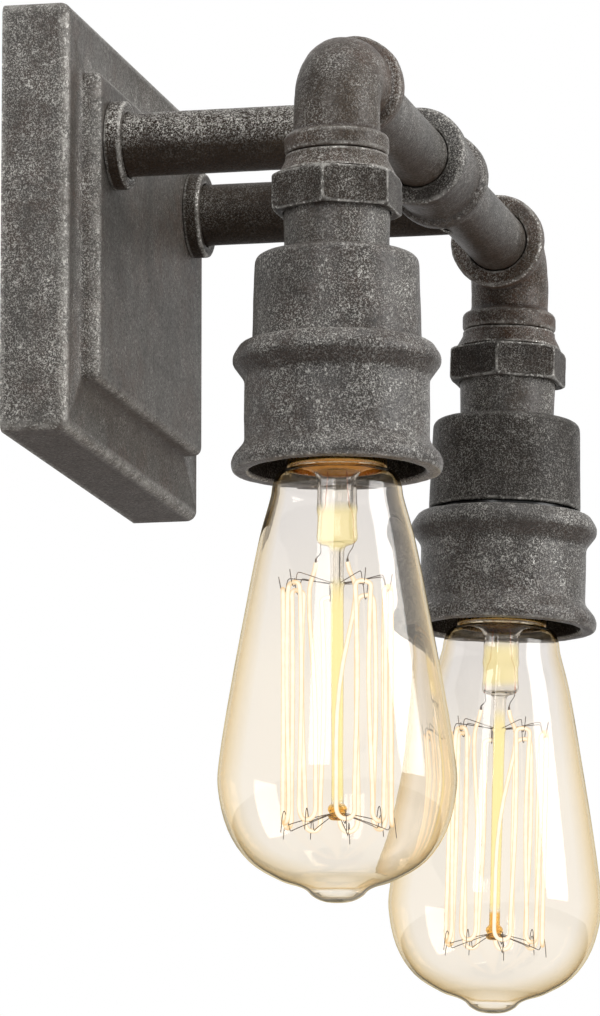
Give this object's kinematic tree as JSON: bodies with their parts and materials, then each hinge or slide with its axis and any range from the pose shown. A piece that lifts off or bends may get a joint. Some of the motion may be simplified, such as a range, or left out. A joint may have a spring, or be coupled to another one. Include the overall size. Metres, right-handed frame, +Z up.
{
  "type": "industrial pipe wall light",
  "caption": "Wall light of iron pipe fittings: arms on a rectangular back plate carry a cross pipe, with a downward socket, cast bell and clear filament bulb at each end.",
  "frame": {"origin": "centre of the mounting bracket's screw pattern, on the wall plane, which is also the centre of the back plate's wall side", "axes": "+X along the wall, to the right for a person who faces the light; +Y into the wall; +Z up"},
  "size_m": [0.3102, 0.1363, 0.2654],
  "materials": {
    "plate_iron": "aged dark bronze, brushed through to silver grey at the edges",
    "pipe_iron": "aged dark bronze with fine silver speckle",
    "cast_iron": "rough casting, aged dark bronze with fine silver speckle and rust tints",
    "zinc_steel": "zinc plated",
    "brass": "rolled brass",
    "black_phenolic": "glossy moulded black",
    "clear_glass": "clear blown glass",
    "stem_glass": "clear drawn glass",
    "black_glass": "fused black glass",
    "tin": "soldered tin",
    "support_wire": "dark drawn wire",
    "filament": "glowing warm white",
    "lead_insulation": "matt insulation",
    "connector_plastic": "moulded orange"
  },
  "bodies": {
    "fixture": {"back_plate": "plate_iron", "mounting_bracket": "zinc_steel", "plate_screws": "pipe_iron", "ground_screw": "zinc_steel", "wire_connectors": "connector_plastic", "centre_coupling": "cast_iron", "arm_washers": "zinc_steel", "arm_lock_nuts": "zinc_steel", "arm_left": "pipe_iron", "arm_flange_left": "cast_iron", "cross_pipe_left": "pipe_iron", "elbow_left": "cast_iron", "union_tail_left": "cast_iron", "union_nut_left": "cast_iron", "nipple_left": "pipe_iron", "socket_cup_left": "cast_iron", "cup_nut_left": "zinc_steel", "lamp_leads_left": "lead_insulation", "socket_stem_left": "zinc_steel", "socket_cap_left": "black_phenolic", "socket_body_left": "black_phenolic", "terminal_screws_left": "brass", "screw_shell_left": "brass", "centre_contact_left": "brass", "bell_left": "cast_iron", "retaining_ring_left": "black_phenolic", "arm_right": "pipe_iron", "arm_flange_right": "cast_iron", "cross_pipe_right": "pipe_iron", "elbow_right": "cast_iron", "union_tail_right": "cast_iron", "union_nut_right": "cast_iron", "nipple_right": "pipe_iron", "socket_cup_right": "cast_iron", "cup_nut_right": "zinc_steel", "lamp_leads_right": "lead_insulation", "socket_stem_right": "zinc_steel", "socket_cap_right": "black_phenolic", "socket_body_right": "black_phenolic", "terminal_screws_right": "brass", "screw_shell_right": "brass", "centre_contact_right": "brass", "bell_right": "cast_iron", "retaining_ring_right": "black_phenolic"},
    "bulb_tip_left": {"bulb_contact_left": "tin"},
    "bulb_left": {"bulb_insulator_left": "black_glass", "bulb_cap_left": "brass", "bulb_glass_left": "clear_glass", "bulb_stem_left": "stem_glass", "bulb_filament_left": "filament", "bulb_supports_left": "support_wire"},
    "bulb_tip_right": {"bulb_contact_right": "tin"},
    "bulb_right": {"bulb_insulator_right": "black_glass", "bulb_cap_right": "brass", "bulb_glass_right": "clear_glass", "bulb_stem_right": "stem_glass", "bulb_filament_right": "filament", "bulb_supports_right": "support_wire"}
  },
  "joints": [
    {"name": "bulb_drop_left", "type": "slide", "parent": "fixture", "child": "bulb_tip_left", "axis": [0, 0, -1], "range_m": [0, 0.01816]},
    {"name": "bulb_turn_left", "type": "hinge", "parent": "bulb_tip_left", "child": "bulb_left", "pos_m": [-0.1235, -0.1047, -0.0696], "axis": [0, 0, -1], "range_deg": [0, 1800]},
    {"name": "bulb_drop_right", "type": "slide", "parent": "fixture", "child": "bulb_tip_right", "axis": [0, 0.0297, -0.9996], "range_m": [0, 0.01816]},
    {"name": "bulb_turn_right", "type": "hinge", "parent": "bulb_tip_right", "child": "bulb_right", "pos_m": [0.1235, -0.10175, -0.07396], "axis": [0, 0.0297, -0.9996], "range_deg": [0, 1800]}
  ],
  "couplings": [
    {"joint": "bulb_drop_left", "follows": "bulb_turn_left", "m_per_rad": 0.0005775},
    {"joint": "bulb_drop_right", "follows": "bulb_turn_right", "m_per_rad": 0.0005775}
  ]
}
